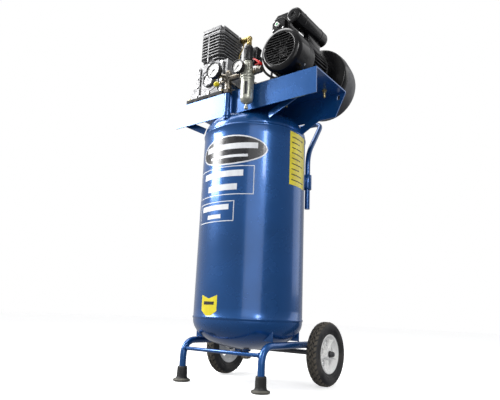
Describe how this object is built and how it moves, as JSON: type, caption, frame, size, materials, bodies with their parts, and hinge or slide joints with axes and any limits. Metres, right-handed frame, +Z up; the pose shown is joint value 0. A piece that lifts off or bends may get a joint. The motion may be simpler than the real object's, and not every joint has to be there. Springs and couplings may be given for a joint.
{
  "type": "vertical tank compressor",
  "caption": "Upright air tank on a wheeled tube frame, carrying a piston pump, an electric motor, a belt guard, gauges and a filter-regulator on a top deck.",
  "frame": {"origin": "on the ground under the centre of the object's box", "axes": "+Z up along the tank; +X along the deck from the pump to the motor; -Y is the side of the gauges and feet, +Y the side of the wheels and handle"},
  "size_m": [0.602, 0.5358, 1.296],
  "materials": {
    "blue_paint": "glossy metallic blue paint",
    "tyre": "matte rubber with a block tread",
    "rubber": "matte black rubber",
    "rim_white": "satin white moulding",
    "black_paint": "satin black paint",
    "motor_grey": "dark grey satin paint over castings",
    "cast_alu": "fine cast aluminium, satin",
    "steel": "machined steel",
    "iron": "dark cast iron",
    "brass": "bright machined brass",
    "nickel": "nickel-plated fittings",
    "zinc": "yellow zinc-plated steel",
    "black_plastic": "glossy black plastic",
    "grey_plastic": "matte grey moulding",
    "white_plastic": "white plastic",
    "red_plastic": "red coating",
    "yellow_plastic": "yellow plastic",
    "olive_metal": "smooth die-cast body, slightly greenish"
  },
  "bodies": {
    "base": {"tank_shell": "blue_paint", "foot_left": "rubber", "foot_right": "rubber", "axle": "steel", "leg_frame": "blue_paint", "handle": "blue_paint", "deck": "blue_paint", "strut_left": "blue_paint", "strut_right": "blue_paint", "pump_base_plate": "black_paint", "crankcase": "cast_alu", "crankcase_cover": "cast_alu", "bearing_front": "steel", "bearing_rear": "steel", "cylinder_block": "cast_alu", "cylinder_head": "cast_alu", "motor_bolt_left_front": "zinc", "motor_bolt_right_front": "zinc", "motor_bolt_left_rear": "zinc", "motor_bolt_right_rear": "zinc", "motor_housing": "motor_grey", "motor_end_bell": "motor_grey", "fan_cowl": "black_paint", "terminal_box": "black_plastic", "capacitor_cover": "black_paint", "v_belt": "rubber", "belt_guard_inner": "black_plastic", "belt_guard_outer": "grey_plastic", "check_valve": "brass", "discharge_pipe": "brass", "riser_pipe": "blue_paint", "manifold": "nickel", "tank_gauge": "black_plastic", "outlet_gauge": "black_plastic", "pressure_switch": "black_plastic", "regulator_body": "olive_metal", "filter_bowl": "olive_metal", "ball_valve": "nickel", "motor_lead": "rubber"},
    "crank": {"crankshaft": "iron", "flywheel": "iron"},
    "rod_front": {"con_rod_front": "cast_alu"},
    "rod_rear": {"con_rod_rear": "cast_alu"},
    "piston_front": {"piston_front": "cast_alu"},
    "piston_rear": {"piston_rear": "cast_alu"},
    "rotor": {"motor_rotor": "steel", "motor_pulley": "iron"},
    "wheel_left": {"tyre_left": "tyre", "rim_left": "rim_white"},
    "wheel_right": {"tyre_right": "tyre", "rim_right": "rim_white"},
    "tank_needle": {"tank_gauge_needle": "red_plastic"},
    "outlet_needle": {"outlet_gauge_needle": "red_plastic"},
    "regulator_knob": {"regulator_knob": "black_plastic"},
    "valve_lever": {"valve_lever": "red_plastic"},
    "cock_knob": {"cock_knob": "yellow_plastic"},
    "drain_knob": {"drain_knob": "brass"},
    "safety_ring": {"safety_ring": "steel"},
    "switch_knob": {"switch_knob": "red_plastic"},
    "reset_button": {"reset_button": "white_plastic"}
  },
  "joints": [
    {"name": "crank_spin", "type": "hinge", "parent": "base", "child": "crank", "pos_m": [-0.169, -0.11189, 1.073], "axis": [0, 1, 0], "continuous": true},
    {"name": "rod_front_swing", "type": "hinge", "parent": "crank", "child": "rod_front", "pos_m": [-0.169, -0.14589, 1.09], "axis": [0, 1, 0], "continuous": true},
    {"name": "rod_rear_swing", "type": "hinge", "parent": "crank", "child": "rod_rear", "pos_m": [-0.169, -0.0779, 1.056], "axis": [0, 1, 0], "continuous": true},
    {"name": "piston_front_slide", "type": "slide", "parent": "base", "child": "piston_front", "axis": [0, 0, 1], "range_m": [-0.034, 0]},
    {"name": "piston_rear_slide", "type": "slide", "parent": "base", "child": "piston_rear", "axis": [0, 0, 1], "range_m": [0, 0.034]},
    {"name": "motor_spin", "type": "hinge", "parent": "base", "child": "rotor", "pos_m": [0.17, -0.0919, 1.078], "axis": [0, 1, 0], "continuous": true},
    {"name": "wheel_left_spin", "type": "hinge", "parent": "base", "child": "wheel_left", "pos_m": [-0.258, 0.11911, 0.1045], "axis": [1, 0, 0], "continuous": true},
    {"name": "wheel_right_spin", "type": "hinge", "parent": "base", "child": "wheel_right", "pos_m": [0.17, 0.11911, 0.1045], "axis": [1, 0, 0], "continuous": true},
    {"name": "tank_needle_turn", "type": "hinge", "parent": "base", "child": "tank_needle", "pos_m": [-0.074, -0.26389, 1.046], "axis": [0, 1, 0], "range_deg": [0, 270]},
    {"name": "outlet_needle_turn", "type": "hinge", "parent": "base", "child": "outlet_needle", "pos_m": [0.035, -0.26389, 1.03], "axis": [0, 1, 0], "range_deg": [0, 270]},
    {"name": "regulator_turn", "type": "hinge", "parent": "base", "child": "regulator_knob", "pos_m": [0.053, -0.22989, 1.08], "axis": [0, 0, 1], "range_deg": [-270, 270]},
    {"name": "valve_lever_turn", "type": "hinge", "parent": "base", "child": "valve_lever", "pos_m": [0.093, -0.2259, 1.036], "axis": [0, 0, 1], "range_deg": [0, 90]},
    {"name": "cock_turn", "type": "hinge", "parent": "base", "child": "cock_knob", "pos_m": [-0.092, -0.2219, 1.016], "axis": [1, 0, 0], "range_deg": [0, 180]},
    {"name": "drain_turn", "type": "hinge", "parent": "base", "child": "drain_knob", "pos_m": [-0.044, -0.0419, 0.09], "axis": [0, 0, 1], "range_deg": [0, 360]},
    {"name": "safety_ring_pull", "type": "slide", "parent": "base", "child": "safety_ring", "axis": [0, 1, 0], "range_m": [0, 0.003], "stiffness_N_per_m": 1500},
    {"name": "switch_turn", "type": "hinge", "parent": "base", "child": "switch_knob", "pos_m": [0.038, -0.1939, 1.126], "axis": [0, 0, 1], "range_deg": [0, 90]},
    {"name": "reset_press", "type": "slide", "parent": "base", "child": "reset_button", "axis": [0, 1, 0], "range_m": [0, 0.003], "stiffness_N_per_m": 600}
  ],
  "couplings": [
    {"joint": "rod_front_swing", "follows": "crank_spin", "ratio": -1},
    {"joint": "rod_rear_swing", "follows": "crank_spin", "ratio": -1},
    {"joint": "motor_spin", "follows": "crank_spin", "ratio": 2.098}
  ]
}
